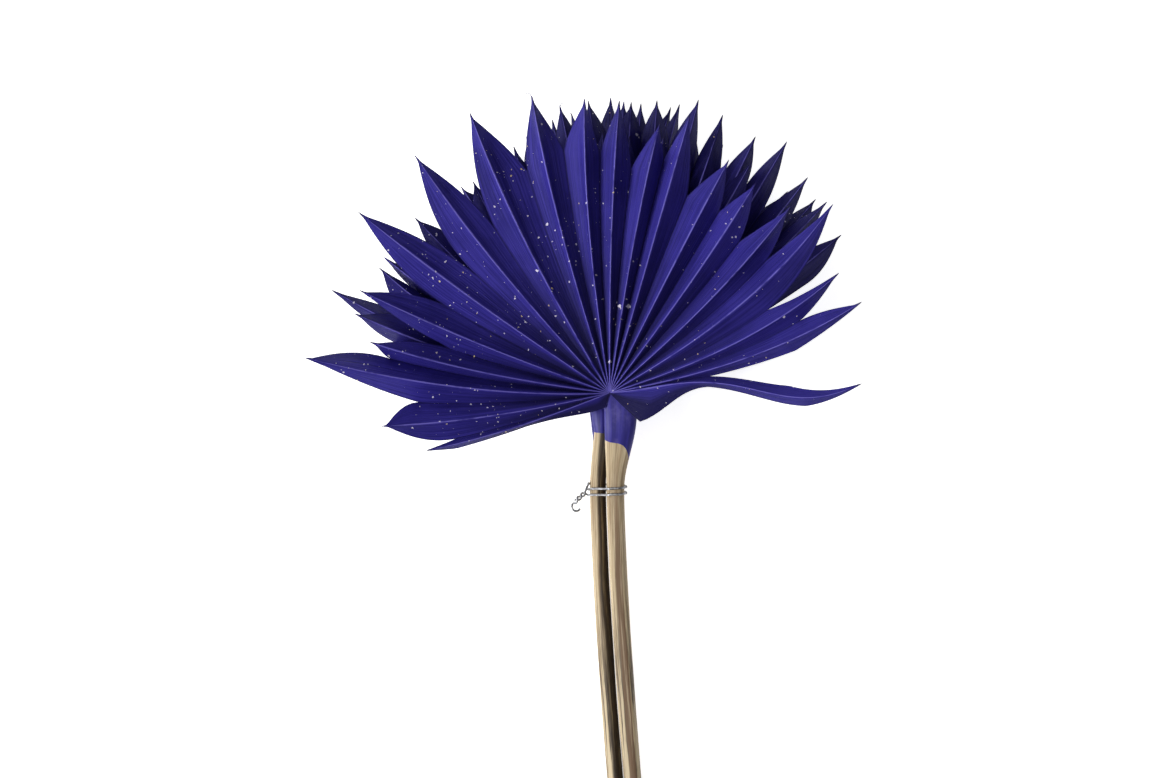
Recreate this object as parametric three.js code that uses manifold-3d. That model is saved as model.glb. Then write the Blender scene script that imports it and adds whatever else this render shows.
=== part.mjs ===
// A tied bunch of dyed fan palm leaves, lying face up on a flat surface.
// Millimetres, +Z up. The fans open towards +Y and the cut stems run towards -Y.

import * as THREE from 'three';
import { mergeVertices } from 'three/addons/utils/BufferGeometryUtils.js';
import Module from 'manifold-3d';

const wasm = await Module();
wasm.setup();

// Driving dimensions of a fan
const FAN_RADIUS = 126; // hub to the tip of a full-length segment
const BLADE_THICKNESS = 1.05; // measured upright, so about 0.7 square to a pleat's flank
const PLEAT_START = 3.5; // radius at which the pleats leave the hub
const TIP_BEND = 1.5; // how late along its length a segment turns from its hub angle to its tip angle
const OUTER_FLANK_DEG = 4.2; // angle that the free flank at each end of a fan covers
const WEB_LENGTH = 22; // length from the hub in which a free flank's web narrows
const WEB_MOST_DEG = 50; // most that a web widens a free flank
const TIP_LIFT = 2.5; // most that a tip is curled up or down
const TIP_TAPER = 1.15; // how fast a trimmed segment narrows to its point
const TIP_FULLNESS = 0.36; // how far a trimmed edge bulges before it narrows
const TIP_LOPSIDED = 0.3; // how much fuller the edge is that faces away from the fan's middle
const MIDDLE_DEG = 85; // direction that a fan points in
const LOPSIDED_BY_DEG = 45; // angle off the middle at which tips are fully lopsided

// A fan that follows a rule spreads wider at its hub, and its segments vary by these shares
const SPREAD_AT_HUB = 1.05;
const ANGLE_JITTER = 0.1; // of the pitch between two segments
const REACH_JITTER = 0.03;
const CUT_SHARE = 0.84; // depth at which a segment is cut free, as a share of its reach
const CUT_JITTER = 0.04;
const EVEN_FULLNESS = 0.75;

// Driving dimensions of the stems and of the tie that holds them
const STEM_WIDTH = 7;
const STEM_HEIGHT = 5.6;
const STEM_SIDES = 10; // one side is flat on the surface
const HEAD_BELOW = 3.1; // flat underside of a stem's head below the hub of its fan
const HEAD_LENGTH = 9; // level length of the head below the hub
const HEAD_SECTIONS = [ // distance up from the hub, width, height and how far the underside is raised
  [6, 3, 2, 1.4], [4.6, 8, 3, 0.7], [2.4, 11, 3.9, 0.2], [-0.5, 12, 4.3, 0], [-4, 11, 4.5, 0],
  [-HEAD_LENGTH, 9, 5, 0],
];
const TIE_Y = -41;
const TIE_LIFT = 1.6; // the tie's wire runs under the stems and lifts them this much
const SETTLE_LENGTH = 70; // length below the tie in which the stems come down to the surface
const LEAN = 6.7; // sideways drift of the bundle at LEAN_LENGTH below the tie
const LEAN_LENGTH = 115;
const LEAN_POWER = 1.4;
const DYE_GAP = 0.3; // between the dyed head of a stem and its bare length
const ROW_GAP = 0.4;

// Wire tie: two turns round the stems, its ends twisted together and one bent into a hook
const WIRE_RADIUS = 0.5;
const WIRE_SIDES = 6;
const WIRE_GAP = 0.35;
const WIRE_TURNS = 2;
const WIRE_PITCH = 2.6;
const WIRE_STEPS_PER_TURN = 22;
const WIRE_STEPS = 106; // along its whole length
const WIRE_START_DEG = 160;
const TAIL_DIRECTION = new THREE.Vector3(-0.72, -0.66, 0.2).normalize();
const TAIL_START = 2.4; // distance from the stems at which the two ends start to twist
const TAIL_LENGTH = 6.5;
const TAIL_SHORT_SHARE = 0.8; // length of the end that has no hook
const TAIL_TWISTS = 1.5;
const TAIL_RADIUS = 0.75;
const TAIL_STEPS = 9;
const HOOK_RADIUS = 1.9;
const HOOK_FROM_DEG = 35;
const HOOK_TO_DEG = 200;
const HOOK_STEPS = 5;

// Triangles are spent along each pleat in this many steps
const RIDGE_STEPS = 5;
const VALLEY_STEPS = 3;
const EDGE_STEPS = 4;
const STEM_STEPS = 14;
const STEM_STEP_GROWTH = 1.7; // steps are short where a stem comes down from its hub

const DYED_BLUE = new THREE.MeshStandardMaterial({ color: 0x34288c, roughness: 0.62, metalness: 0 });
const STRAW = new THREE.MeshStandardMaterial({ color: 0xc9ad7c, roughness: 0.7, metalness: 0 });
const WIRE = new THREE.MeshStandardMaterial({ color: 0x9a9ca0, roughness: 0.35, metalness: 1 });

const { clamp, degToRad, lerp, radToDeg, smoothstep } = THREE.MathUtils;

// Segments of the front fan, anticlockwise from its lower right:
// hub angle, tip angle, reach as a share of FAN_RADIUS, depth of the cut to the next segment, and where a
// segment is unlike the rest its own sideways sway, bend, fullness, lopsidedness, angle of its free flank, or
// place of the fold to the next segment as a share of the way to that segment's ridge
const FRONT_SEGMENTS = [
  [4, 2.2, 0.838, 0.33, { sway: 4.2, full: -0.05, lopsided: 0.55, flank: 1.2 }],
  [11, 19.9, 0.89, 0.68, { full: 0.5, lopsided: -0.3 }],
  [18, 27.7, 0.86, 0.59, { full: 0, fold: 0.37 }],
  [30, 40.3, 0.97, 0.68],
  [41, 46, 0.86, 0.66],
  [53, 55.3, 0.85, 0.7],
  [64, 63, 0.87, 0.7],
  [74, 74, 0.96, 0.79],
  [82, 79.6, 0.91, 0.75],
  [90.3, 88.2, 0.97, 0.79],
  [98.8, 95, 0.98, 0.82],
  [108, 104.8, 1.02, 0.79, { fold: 0.38 }],
  [121, 116.6, 1.04, 0.67, { full: 0.5 }],
  [133, 129.4, 1.02, 0.59, { full: 0.9 }],
  [146.5, 144.3, 1.03, 0.5, { full: 1 }],
  [160.5, 157.7, 0.9, 0.5, { full: 1.1, lopsided: -0.65 }],
  [172.5, 168, 0.815, 0.74, { full: 1, lopsided: -0.4, fold: 0.37 }],
  [183.5, 173.4, 1.02, 0.63, { bend: 0.8, full: 0.65, lopsided: -0.75 }],
  [192.5, 188.2, 0.77, 0.53, { full: 1.25, lopsided: -0.1, fold: 0.78 }],
  [201.5, 197.4, 0.64, 0.3, { flank: 1 }],
].map(([hubAngle, tipAngle, reach, cut, own = {}]) => ({ hubAngle, tipAngle, reach, cut, ...own }));

// A number from -1 to 1 that is always the same for the same index and seed.
function jitter(index, seed) {
  const wave = Math.sin(index * 12.9898 + seed * 78.233) * 43758.5453;
  return 2 * (wave - Math.floor(wave)) - 1;
}

// Segments of a fan that follows a rule: evenly spread, longest near the middle, each a little different.
// fall is the share of its reach that a segment loses for each degree off the middle, right and left of it.
// stray gives the tip angle and reach of the segments, by index, that don't keep to the rule.
function evenSegments({ from, to, count, reach, fall, seed, stray = {} }) {
  const pitch = (to - from) / (count - 1);
  return Array.from({ length: count }, (_, i) => {
    const ruleAngle = from + pitch * (i + ANGLE_JITTER * jitter(i, seed));
    const trimmed = reach * (1 - fall[ruleAngle < MIDDLE_DEG ? 0 : 1] * Math.abs(ruleAngle - MIDDLE_DEG));
    const ruleReach = trimmed * (1 + REACH_JITTER * jitter(i, seed + 1));
    const [tipAngle, ownReach] = stray[i] ?? [ruleAngle, ruleReach];
    return {
      hubAngle: MIDDLE_DEG + (ruleAngle - MIDDLE_DEG) * SPREAD_AT_HUB,
      tipAngle,
      reach: ownReach,
      full: EVEN_FULLNESS,
      cut: Math.min(trimmed, ownReach) * (CUT_SHARE + CUT_JITTER * jitter(i, seed + 2)),
    };
  });
}

// Underside of each row of stems, from the surface up. Flat sides up and down make a stem a little lower.
const FLAT_SHARE = Math.cos(Math.PI / STEM_SIDES);
const rowHeight = (row) => row * (STEM_HEIGHT * FLAT_SHARE + ROW_GAP);

// The leaves from the top of the stack to the bottom. rise is the fan's slope away from its hub, depth the
// height of a pleat at FAN_RADIUS, web how much wider the free flanks are at the hub, right and left, joint
// how far to the right of the hub the stem joins, broad and flare how much broader its head is and the stem
// becomes on the way there, slot the stem's place in the bundle, dye the end of the dyed head.
const LEAVES = [
  {
    name: 'front_leaf', hub: [0, 0, 25.1], rise: 10.2, depth: 9, web: [30, 6], seed: 1,
    joint: 4.6, broad: 1.5, flare: 0.85, slot: [2.4, rowHeight(2)], width: 1.1, dye: -21.5, cut: -285,
    segments: FRONT_SEGMENTS,
  },
  {
    name: 'second_leaf', hub: [-3, -1.5, 19.6], rise: 7.7, depth: 8, web: [0, 0], seed: 2,
    joint: 0, broad: 1, flare: 0, slot: [-5, rowHeight(1)], width: 1, dye: -17, cut: -300,
    segments: evenSegments({
      from: 57.5, to: 168, count: 18, reach: 0.87, fall: [0, 0], seed: 2,
      stray: {
        0: [57.7, 0.926], 1: [66.5, 0.931], 10: [121.1, 0.843], 12: [136.4, 0.869],
        14: [147.5, 0.867], 15: [150.1, 0.862], 16: [161.5, 0.874], 17: [168, 0.72],
      },
    }),
  },
  {
    name: 'third_leaf', hub: [5.5, -3, 14.1], rise: 5.4, depth: 8, web: [0, 0], seed: 3,
    joint: 0, broad: 1, flare: 0, slot: [2.8, rowHeight(1)], width: 1, dye: -24, cut: -292,
    segments: evenSegments({
      from: 37.8, to: 165.8, count: 21, reach: 1.01, fall: [0.0018, 0.004], seed: 3,
      stray: {
        0: [37.1, 0.92], 1: [44.2, 0.953], 2: [50.3, 0.969], 3: [57.6, 1.027], 4: [63.3, 0.99],
        5: [70.7, 1.014], 6: [75.9, 1.039], 7: [83.5, 1.013], 8: [88.4, 1.001], 9: [96.6, 1.012],
        10: [102.1, 1.012],
      },
    }),
  },
  {
    name: 'fourth_leaf', hub: [3, -2.5, 8.6], rise: 3.1, depth: 8, web: [0, 0], seed: 4,
    joint: 0, broad: 1, flare: 0, slot: [2.8, rowHeight(0)], width: 1, dye: -19, cut: -305,
    segments: evenSegments({
      from: 44.4, to: 167.3, count: 22, reach: 0.98, fall: [0.002, 0.002], seed: 4,
      stray: {
        0: [45.1, 0.95], 6: [78, 1.014], 7: [85.3, 1], 8: [91.2, 1.016], 9: [99, 0.974],
        19: [152.6, 0.873], 20: [159.1, 1.029],
      },
    }),
  },
  {
    name: 'back_leaf', hub: [-3.5, -4, HEAD_BELOW], rise: 0.5, depth: 8, web: [0, 0], seed: 5,
    joint: 0, broad: 1, flare: 0, slot: [-5, rowHeight(0)], width: 1, dye: -21, cut: -297,
    segments: evenSegments({
      from: 49.1, to: 158.9, count: 19, reach: 1, fall: [0.002, 0.004], seed: 5,
      stray: { 5: [76.8, 1.027], 6: [85.7, 1.023] },
    }),
  },
];

// Solids

function geometryOf(points, triangles) {
  const geometry = new THREE.BufferGeometry();
  geometry.setAttribute('position', new THREE.Float32BufferAttribute(points.flat(), 3));
  geometry.setIndex(triangles.flat());
  return geometry;
}

// A closed skin over rings of equally many points, each ring anticlockwise as seen from the last ring.
function loft(rings) {
  const sides = rings[0].length;
  const last = (rings.length - 1) * sides;
  const triangles = [];
  for (let k = 0; k < rings.length - 1; k++) {
    for (let i = 0; i < sides; i++) {
      const a = k * sides + i;
      const b = k * sides + ((i + 1) % sides);
      triangles.push([a, b, b + sides], [a, b + sides, a + sides]);
    }
  }
  for (let i = 1; i < sides - 1; i++) {
    triangles.push([0, i + 1, i], [last, last + i, last + i + 1]);
  }
  return geometryOf(rings.flat(), triangles);
}

// A sheet given by its middle surface, thickened upright. Both faces are split into the same triangles.
function thicken(points, triangles, thickness) {
  const count = points.length;
  const up = points.map(([x, y, z]) => [x, y, z + thickness / 2]);
  const down = points.map(([x, y, z]) => [x, y, z - thickness / 2]);
  const skin = [];
  const edges = new Set();
  for (const [a, b, c] of triangles) {
    skin.push([a, b, c], [a + count, c + count, b + count]);
    for (const [p, q] of [[a, b], [b, c], [c, a]]) edges.add(p * count + q);
  }
  for (const edge of edges) {
    const p = Math.floor(edge / count);
    const q = edge % count;
    if (!edges.has(q * count + p)) skin.push([p, p + count, q + count], [p, q + count, q]);
  }
  return geometryOf([...up, ...down], skin);
}

function solidOf(geometry) {
  const bare = geometry.clone();
  bare.deleteAttribute('normal');
  bare.deleteAttribute('uv');
  const merged = mergeVertices(bare, 1e-4);
  return new wasm.Manifold(new wasm.Mesh({
    numProp: 3,
    vertProperties: merged.getAttribute('position').array,
    triVerts: new Uint32Array(merged.index.array),
  }));
}

function fuse(first, second) {
  const mesh = solidOf(first).add(solidOf(second)).getMesh();
  const geometry = new THREE.BufferGeometry();
  geometry.setAttribute('position', new THREE.BufferAttribute(mesh.vertProperties, 3));
  geometry.setIndex(new THREE.BufferAttribute(mesh.triVerts, 1));
  return geometry;
}

// Pleated fans

// Share of a flank's width that is left, from the cut between two segments (0) to the tip (1).
// side is -1 for the flank on the right of a ridge and 1 for the one on its left.
function trimmedShare(segment, side, t) {
  const lean = clamp((segment.tipAngle - MIDDLE_DEG) / LOPSIDED_BY_DEG, -1, 1);
  const fullness = (segment.full ?? TIP_FULLNESS) + (segment.lopsided ?? TIP_LOPSIDED) * lean * side;
  return (1 - t) ** TIP_TAPER * (1 + fullness * t);
}

function ridgeAngle(segment, radius) {
  const share = radius / (segment.reach * FAN_RADIUS);
  const turned = (segment.tipAngle - segment.hubAngle) * share ** (segment.bend ?? TIP_BEND);
  return segment.hubAngle + turned + (segment.sway ?? 0) * Math.sin(2 * Math.PI * share);
}

// Angle that the free flank of a fan's last segment covers: next to the hub it has a web down to the stem.
function freeFlankAngle(segment, web, radius) {
  const width = web * Math.exp(-((radius / WEB_LENGTH) ** 2));
  return (segment.flank ?? OUTER_FLANK_DEG) + Math.min(WEB_MOST_DEG, radToDeg(width / radius));
}

// Angle of the fold between two segments. Outside the fan's ends it is the free flank's edge.
function valleyAngle(leaf, index, radius) {
  const before = leaf.segments[index - 1];
  const after = leaf.segments[index];
  if (!before) return ridgeAngle(after, radius) - freeFlankAngle(after, leaf.web[0], radius);
  if (!after) return ridgeAngle(before, radius) + freeFlankAngle(before, leaf.web[1], radius);
  return lerp(ridgeAngle(before, radius), ridgeAngle(after, radius), before.fold ?? 0.5);
}

function cutRadius(leaf, index) {
  const segment = leaf.segments[Math.max(0, index - 1)];
  return segment.cut * FAN_RADIUS;
}

// A point of a fan: level is 0.5 on a ridge and -0.5 in a valley, lift the curl of the segment there.
// No part of the lowest fan goes through the surface that it lies on.
function fanPoint(leaf, angle, radius, level, lift) {
  const [x, y, z] = leaf.hub;
  const turn = degToRad(angle);
  const climb = radius * Math.tan(degToRad(leaf.rise));
  const pleat = level * leaf.depth * (radius / FAN_RADIUS);
  const height = Math.max(BLADE_THICKNESS / 2, z + climb + pleat + lift);
  return [x + radius * Math.cos(turn), y + radius * Math.sin(turn), height];
}

function segmentLift(leaf, index, radius) {
  const reach = leaf.segments[index].reach * FAN_RADIUS;
  return TIP_LIFT * jitter(index, leaf.seed + 10) * (radius / reach) ** 4;
}

function bladeGeometry(leaf) {
  const points = [];
  const triangles = [];
  const radii = [];
  const add = (angle, radius, level, lift) => {
    radii.push(radius);
    return points.push(fanPoint(leaf, angle, radius, level, lift)) - 1;
  };
  const valleys = Array.from({ length: leaf.segments.length + 1 }, (_, v) => {
    const cut = cutRadius(leaf, v);
    return Array.from({ length: VALLEY_STEPS + 1 }, (_, k) => {
      const radius = lerp(PLEAT_START, cut, k / VALLEY_STEPS);
      return add(valleyAngle(leaf, v, radius), radius, -0.5, 0);
    });
  });
  leaf.segments.forEach((segment, s) => {
    const reach = segment.reach * FAN_RADIUS;
    const ridge = Array.from({ length: RIDGE_STEPS + 1 }, (_, k) => {
      const radius = lerp(PLEAT_START, reach, k / RIDGE_STEPS);
      return add(ridgeAngle(segment, radius), radius, 0.5, segmentLift(leaf, s, radius));
    });
    const tip = ridge[RIDGE_STEPS];
    for (const side of [0, 1]) {
      const cut = cutRadius(leaf, s + side);
      const halfAngle = valleyAngle(leaf, s + side, cut) - ridgeAngle(segment, cut);
      const edge = [...valleys[s + side]];
      for (let k = 1; k < EDGE_STEPS; k++) {
        const t = k / EDGE_STEPS;
        const radius = lerp(cut, reach, t);
        const share = trimmedShare(segment, 2 * side - 1, t);
        const angle = ridgeAngle(segment, radius) + halfAngle * share;
        edge.push(add(angle, radius, 0.5 - share, segmentLift(leaf, s, radius)));
      }
      edge.push(tip);
      stitch(ridge, edge, radii, side === 1, triangles);
    }
  });
  return thicken(points, triangles, BLADE_THICKNESS);
}

// Triangles between a ridge and an edge that both end in the same tip, always taking the nearer next point.
function stitch(ridge, edge, radii, edgeIsLeft, triangles) {
  let i = 0;
  let j = 0;
  while (i < ridge.length - 1 || j < edge.length - 1) {
    const onRidge = j === edge.length - 1
      || (i < ridge.length - 1 && radii[ridge[i + 1]] <= radii[edge[j + 1]]);
    const corner = onRidge ? [ridge[i], ridge[i + 1], edge[j]] : [ridge[i], edge[j + 1], edge[j]];
    if (onRidge) i += 1;
    else j += 1;
    const [a, b, c] = corner;
    if (a !== b && b !== c && c !== a) triangles.push(edgeIsLeft ? [a, b, c] : [a, c, b]);
  }
}

// Stems

// Where a leaf's stem lies at height y of the bunch, as its middle in X and its underside in Z: level under
// the hub, then down to its slot in the tie, then along the leaning bundle to the surface.
function stemSeat(leaf, y) {
  const [hubX, hubY, hubZ] = leaf.hub;
  const [slotX, slotZ] = leaf.slot;
  if (y > TIE_Y) {
    const headEnd = hubY - HEAD_LENGTH;
    const share = smoothstep(headEnd - y, 0, headEnd - TIE_Y);
    return [lerp(hubX + leaf.joint, slotX, share), lerp(hubZ - HEAD_BELOW, slotZ + TIE_LIFT, share)];
  }
  const below = TIE_Y - y;
  const lean = LEAN * (below / LEAN_LENGTH) ** LEAN_POWER;
  const lift = TIE_LIFT * (1 - smoothstep(below, 0, SETTLE_LENGTH));
  return [slotX + lean, slotZ + lift];
}

function stemWidth(leaf, y) {
  return STEM_WIDTH * leaf.width * (1 + leaf.flare * smoothstep(y, TIE_Y, leaf.hub[1] - HEAD_LENGTH));
}

// A ring round the stem, flat underneath, at height y of the bunch.
function stemRing(leaf, y, width, height, raised = 0) {
  const [x, underside] = stemSeat(leaf, y);
  const middle = underside + raised + (height / 2) * FLAT_SHARE;
  return Array.from({ length: STEM_SIDES }, (_, k) => {
    const turn = ((k + 0.5) / STEM_SIDES) * 2 * Math.PI - Math.PI / 2;
    return [x + (width / 2) * Math.cos(turn), y, middle + (height / 2) * Math.sin(turn)];
  });
}

// The dyed head of a stem: a flat rounded boss in the fan's hub that narrows into the stem.
function headGeometry(leaf) {
  const hubY = leaf.hub[1];
  const rings = HEAD_SECTIONS.map(([along, width, height, raised]) => (
    stemRing(leaf, hubY + along, leaf.broad * width, height, raised)
  ));
  rings.push(stemRing(leaf, leaf.dye, stemWidth(leaf, leaf.dye), STEM_HEIGHT));
  return loft(rings);
}

function stemGeometry(leaf) {
  const top = leaf.dye - DYE_GAP;
  const rings = Array.from({ length: STEM_STEPS + 1 }, (_, k) => {
    const y = lerp(top, leaf.cut, (k / STEM_STEPS) ** STEM_STEP_GROWTH);
    return stemRing(leaf, y, stemWidth(leaf, y), STEM_HEIGHT);
  });
  return loft(rings);
}

// Wire tie

// Where a taut wire round all the stems lies, in the direction of an angle about the bundle.
function wrapPoint(angleDeg, y) {
  const out = new THREE.Vector2(Math.cos(degToRad(angleDeg)), Math.sin(degToRad(angleDeg)));
  const outline = LEAVES.flatMap((leaf) => stemRing(leaf, y, stemWidth(leaf, y), STEM_HEIGHT))
    .map(([x, , z]) => new THREE.Vector2(x, z));
  const furthest = outline.reduce((best, p) => (p.dot(out) > best.dot(out) ? p : best));
  const at = furthest.clone().addScaledVector(out, WIRE_RADIUS + WIRE_GAP);
  return new THREE.Vector3(at.x, y, at.y);
}

function wireRoute() {
  const steps = WIRE_TURNS * WIRE_STEPS_PER_TURN;
  const topY = TIE_Y + (WIRE_PITCH * WIRE_TURNS) / 2;
  const loops = Array.from({ length: steps + 1 }, (_, k) => {
    const turns = k / WIRE_STEPS_PER_TURN;
    return wrapPoint(WIRE_START_DEG + 360 * turns, topY - WIRE_PITCH * turns);
  });
  const side = new THREE.Vector3().crossVectors(TAIL_DIRECTION, new THREE.Vector3(0, 0, 1)).normalize();
  const up = new THREE.Vector3().crossVectors(side, TAIL_DIRECTION);
  const root = loops[0].clone().lerp(loops[steps], 0.5).addScaledVector(TAIL_DIRECTION, TAIL_START);
  const strand = (t, phase) => {
    const turn = 2 * Math.PI * TAIL_TWISTS * t + phase;
    return root.clone().addScaledVector(TAIL_DIRECTION, TAIL_LENGTH * t)
      .addScaledVector(side, TAIL_RADIUS * Math.cos(turn))
      .addScaledVector(up, TAIL_RADIUS * Math.sin(turn));
  };
  const twist = (phase, furthest) => Array.from(
    { length: TAIL_STEPS }, (_, k) => strand((furthest * k) / (TAIL_STEPS - 1), phase),
  );
  const long = twist(Math.PI / 2, 1);
  const short = twist(-Math.PI / 2, TAIL_SHORT_SHARE);
  const eye = strand(1, Math.PI / 2).addScaledVector(side, -HOOK_RADIUS);
  const hook = Array.from({ length: HOOK_STEPS }, (_, k) => {
    const turn = degToRad(lerp(HOOK_FROM_DEG, HOOK_TO_DEG, k / (HOOK_STEPS - 1)));
    return eye.clone().addScaledVector(side, HOOK_RADIUS * Math.cos(turn))
      .addScaledVector(TAIL_DIRECTION, HOOK_RADIUS * Math.sin(turn));
  });
  return [...hook.reverse(), ...long.reverse(), ...loops, ...short];
}

function wireGeometry() {
  const route = new THREE.CatmullRomCurve3(wireRoute());
  const section = new THREE.Shape(Array.from({ length: WIRE_SIDES }, (_, k) => {
    const turn = (k / WIRE_SIDES) * 2 * Math.PI;
    return new THREE.Vector2(WIRE_RADIUS * Math.cos(turn), WIRE_RADIUS * Math.sin(turn));
  }));
  return new THREE.ExtrudeGeometry(section, { extrudePath: route, steps: WIRE_STEPS });
}

// The bunch

function named(name, geometry, material) {
  const mesh = new THREE.Mesh(geometry, material);
  mesh.name = name;
  return mesh;
}

const bunch = new THREE.Group();
for (const leaf of LEAVES) {
  bunch.add(named(`${leaf.name}_blade`, fuse(bladeGeometry(leaf), headGeometry(leaf)), DYED_BLUE));
  bunch.add(named(`${leaf.name}_stem`, stemGeometry(leaf), STRAW));
}
bunch.add(named('wire_tie', wireGeometry(), WIRE));

// The part's origin is under the middle of the bunch, on the surface that it lies on.
const box = new THREE.Box3().setFromObject(bunch);
const middle = box.getCenter(new THREE.Vector3());
bunch.position.set(-middle.x, -middle.y, -box.min.z);

const part = new THREE.Group();
part.add(bunch);

export default part;
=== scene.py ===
# Looks of a tied bunch of dyed fan palm leaves that lies face up on a pale floor.
# Shapes are worked out in millimetres about the front leaf's hub, and meshes are made in metres.

import math

import bpy
import numpy as np
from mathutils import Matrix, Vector


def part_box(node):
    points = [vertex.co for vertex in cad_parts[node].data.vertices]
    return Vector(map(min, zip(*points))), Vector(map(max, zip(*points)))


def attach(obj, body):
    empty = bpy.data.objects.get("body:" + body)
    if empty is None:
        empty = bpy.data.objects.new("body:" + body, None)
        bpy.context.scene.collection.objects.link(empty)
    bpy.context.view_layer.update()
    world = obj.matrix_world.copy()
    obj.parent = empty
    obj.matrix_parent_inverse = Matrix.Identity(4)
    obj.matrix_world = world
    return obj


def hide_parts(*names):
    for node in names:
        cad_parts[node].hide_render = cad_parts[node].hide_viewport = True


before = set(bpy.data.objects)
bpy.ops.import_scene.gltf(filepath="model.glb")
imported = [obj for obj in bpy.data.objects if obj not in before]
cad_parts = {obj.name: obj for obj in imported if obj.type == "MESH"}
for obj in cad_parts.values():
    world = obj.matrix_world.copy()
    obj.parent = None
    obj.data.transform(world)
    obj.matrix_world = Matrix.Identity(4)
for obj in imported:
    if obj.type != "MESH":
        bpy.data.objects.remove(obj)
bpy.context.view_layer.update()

MM = 0.001

# Driving sizes of the fans, as the solids have them
FAN_RADIUS = 126
TIP_BEND = 1.5
OUTER_FLANK_DEG = 4.2
WEB_LENGTH = 22
WEB_MOST_DEG = 50
TIP_LIFT = 2.5
TIP_TAPER = 1.15
TIP_FULLNESS = 0.36
TIP_LOPSIDED = 0.3
MIDDLE_DEG = 85
LOPSIDED_BY_DEG = 45
SPREAD_AT_HUB = 1.05
ANGLE_JITTER = 0.1
REACH_JITTER = 0.03
CUT_SHARE = 0.84
CUT_JITTER = 0.04
EVEN_FULLNESS = 0.75
FOLD_PLACE = 0.5  # of the way from one ridge to the next

# Driving sizes of the stems and of the wire tie, as the solids have them
STEM_WIDTH = 7
STEM_HEIGHT = 5.6
FLAT_SHARE = math.cos(math.radians(18))  # a stem's middle above its flat underside, of half its height
HEAD_BELOW = 3.1
HEAD_LENGTH = 9
TIE_Y = -41
TIE_LIFT = 1.6
SETTLE_LENGTH = 70
LEAN = 6.7
LEAN_LENGTH = 115
LEAN_POWER = 1.4
ROW_GAP = 0.4
WIRE_RADIUS = 0.5
WIRE_GAP = 0.35
WIRE_TURNS = 2
WIRE_PITCH = 2.6
WIRE_START_DEG = 160
TAIL_DIRECTION = Vector((-0.72, -0.66, 0.2)).normalized()
TAIL_START = 2.4
TAIL_LENGTH = 6.5
TAIL_SHORT_SHARE = 0.8
TAIL_TWISTS = 1.5
TAIL_RADIUS = 0.75
HOOK_RADIUS = 1.9
HOOK_FROM_DEG = 35
HOOK_TO_DEG = 200
LOOP_STEPS = 48
TAIL_STEPS = 8
HOOK_STEPS = 4
WIRE_SIDES = 10

# Finer form of the fans, which the solids leave out
PLEAT_START = 0.3  # the folds run on to the middle of the hub
PLEAT_POWER = 0.72  # pleats are steeper towards the hub
SIDE_FLATNESS = 0.45  # share by which pleats are flatter at the right, upper left and lowest left
FLAT_RIGHT_DEG = (52, 5)  # where this begins and where it is full
FLAT_LOWEST_DEG = (182, 193)
FLAT_UPPER_LEFT_DEG = (132, 26)  # middle and spread
LEFT_STEEPNESS = 0.25  # share by which pleats are deeper at the left
STEEP_LEFT_DEG = (170, 14)  # middle and spread
SHEET_THICKNESS = 0.5
RIDGE_ROUNDING = 0.05  # of a flank's width
FLANK_HOLLOW = 0.064  # how far a flank sags below a straight line, as a share of the pleat's depth
HOLLOW_VARIES = 0.04
CREASE_PLACE = 0.24  # of a flank's width, where some flanks have a second fold beside the ridge
CREASE_DEPTH = 0.14
CURL_POWER = 4  # a segment curls up or down mostly near its tip
EDGE_FLUTTER = 0.55
FLUTTER_LENGTH = 37
FLUTTER_VARIES = 11
FLUTTER_SHIFT = 3  # in radians
FLUTTER_POWER = 2
FREE_SHARE = 0.3  # share of a flank that is trimmed off where its edge flutters in full
NEEDLE_LENGTH = 4  # fine point in which a trimmed segment ends
NEEDLE_HALF_WIDTH = 0.6
NEEDLE_ROWS = np.array([6, 4.6, 3.3, 2.1, 1, 0.35])  # last rows of a segment, from its tip
NEEDLE_ROW_GAP = 0.3  # least distance from those to the other rows
TIP_DARK_LENGTH = 3.5  # length of a tip that has dried dark
# Points across a flank, from its ridge to its edge
ACROSS = np.array([0, 0.03, 0.08, 0.16, 0.24, 0.34, 0.5, 0.68, 0.85, 1])
HALF_SEGMENT_U = 0.48  # from a ridge to the segment's edge in the UV map, where segments are 1 apart

# Loose fibres at tips
THREAD_RADIUS = 0.16
THREAD_THINNING = 3  # how many times thinner a fibre is at its end
THREAD_POINTS = 14
THREAD_SIDES = 5
THREAD_GUIDES = np.array([6, 0.5])  # places before a tip that give the direction in which a fibre leaves
THREAD_SIZE = 3
THREAD_TURN = 1.1 * math.pi
THREAD_AHEAD = 0.8  # of its size
THREAD_ASIDE = 0.45  # of its size
THREAD_RISE = 0.8

# Finer form of the stems
# Upper part of a head, which lies under the folds and comes out below the hub:
# height above the hub, width, thickness and how far the underside is raised
HEAD_SECTIONS = [
    (5, 3, 1, 1.4), (3.6, 7, 1.8, 0.8), (1.2, 9.6, 2.7, 0.3), (-1, 10.4, 3.7, 0), (-4.5, 10.2, 4.5, 0),
    (-7.2, 9.6, 4.9, 0),
]
HEAD_FLATTER = 0.6
HEAD_FLATTER_LENGTH = 10
HEAD_STEPS = 9
GROOVE_WIDTH = 0.42  # in radians
SLANT_LENGTH = 14  # below the dye line the stem's rings become square to it again
DYE_BOW = 1.65  # a dye line drops most at its lower end
STEM_SIDES = 28
LOBES = 3  # low swellings that wind round a stem
LOBE_DEPTH = 0.012  # of the stem's radius
LOBE_LENGTH = 23
KNOB_DEPTH = 0.01  # of the stem's radius
KNOB_LENGTH = 9
UPPER_RINGS = 24  # rings from the dye line to just below the tie, where a stem bends most
UPPER_END = TIE_Y - 8
LOWER_RINGS = 44
LOWER_START = TIE_Y - 12
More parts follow.
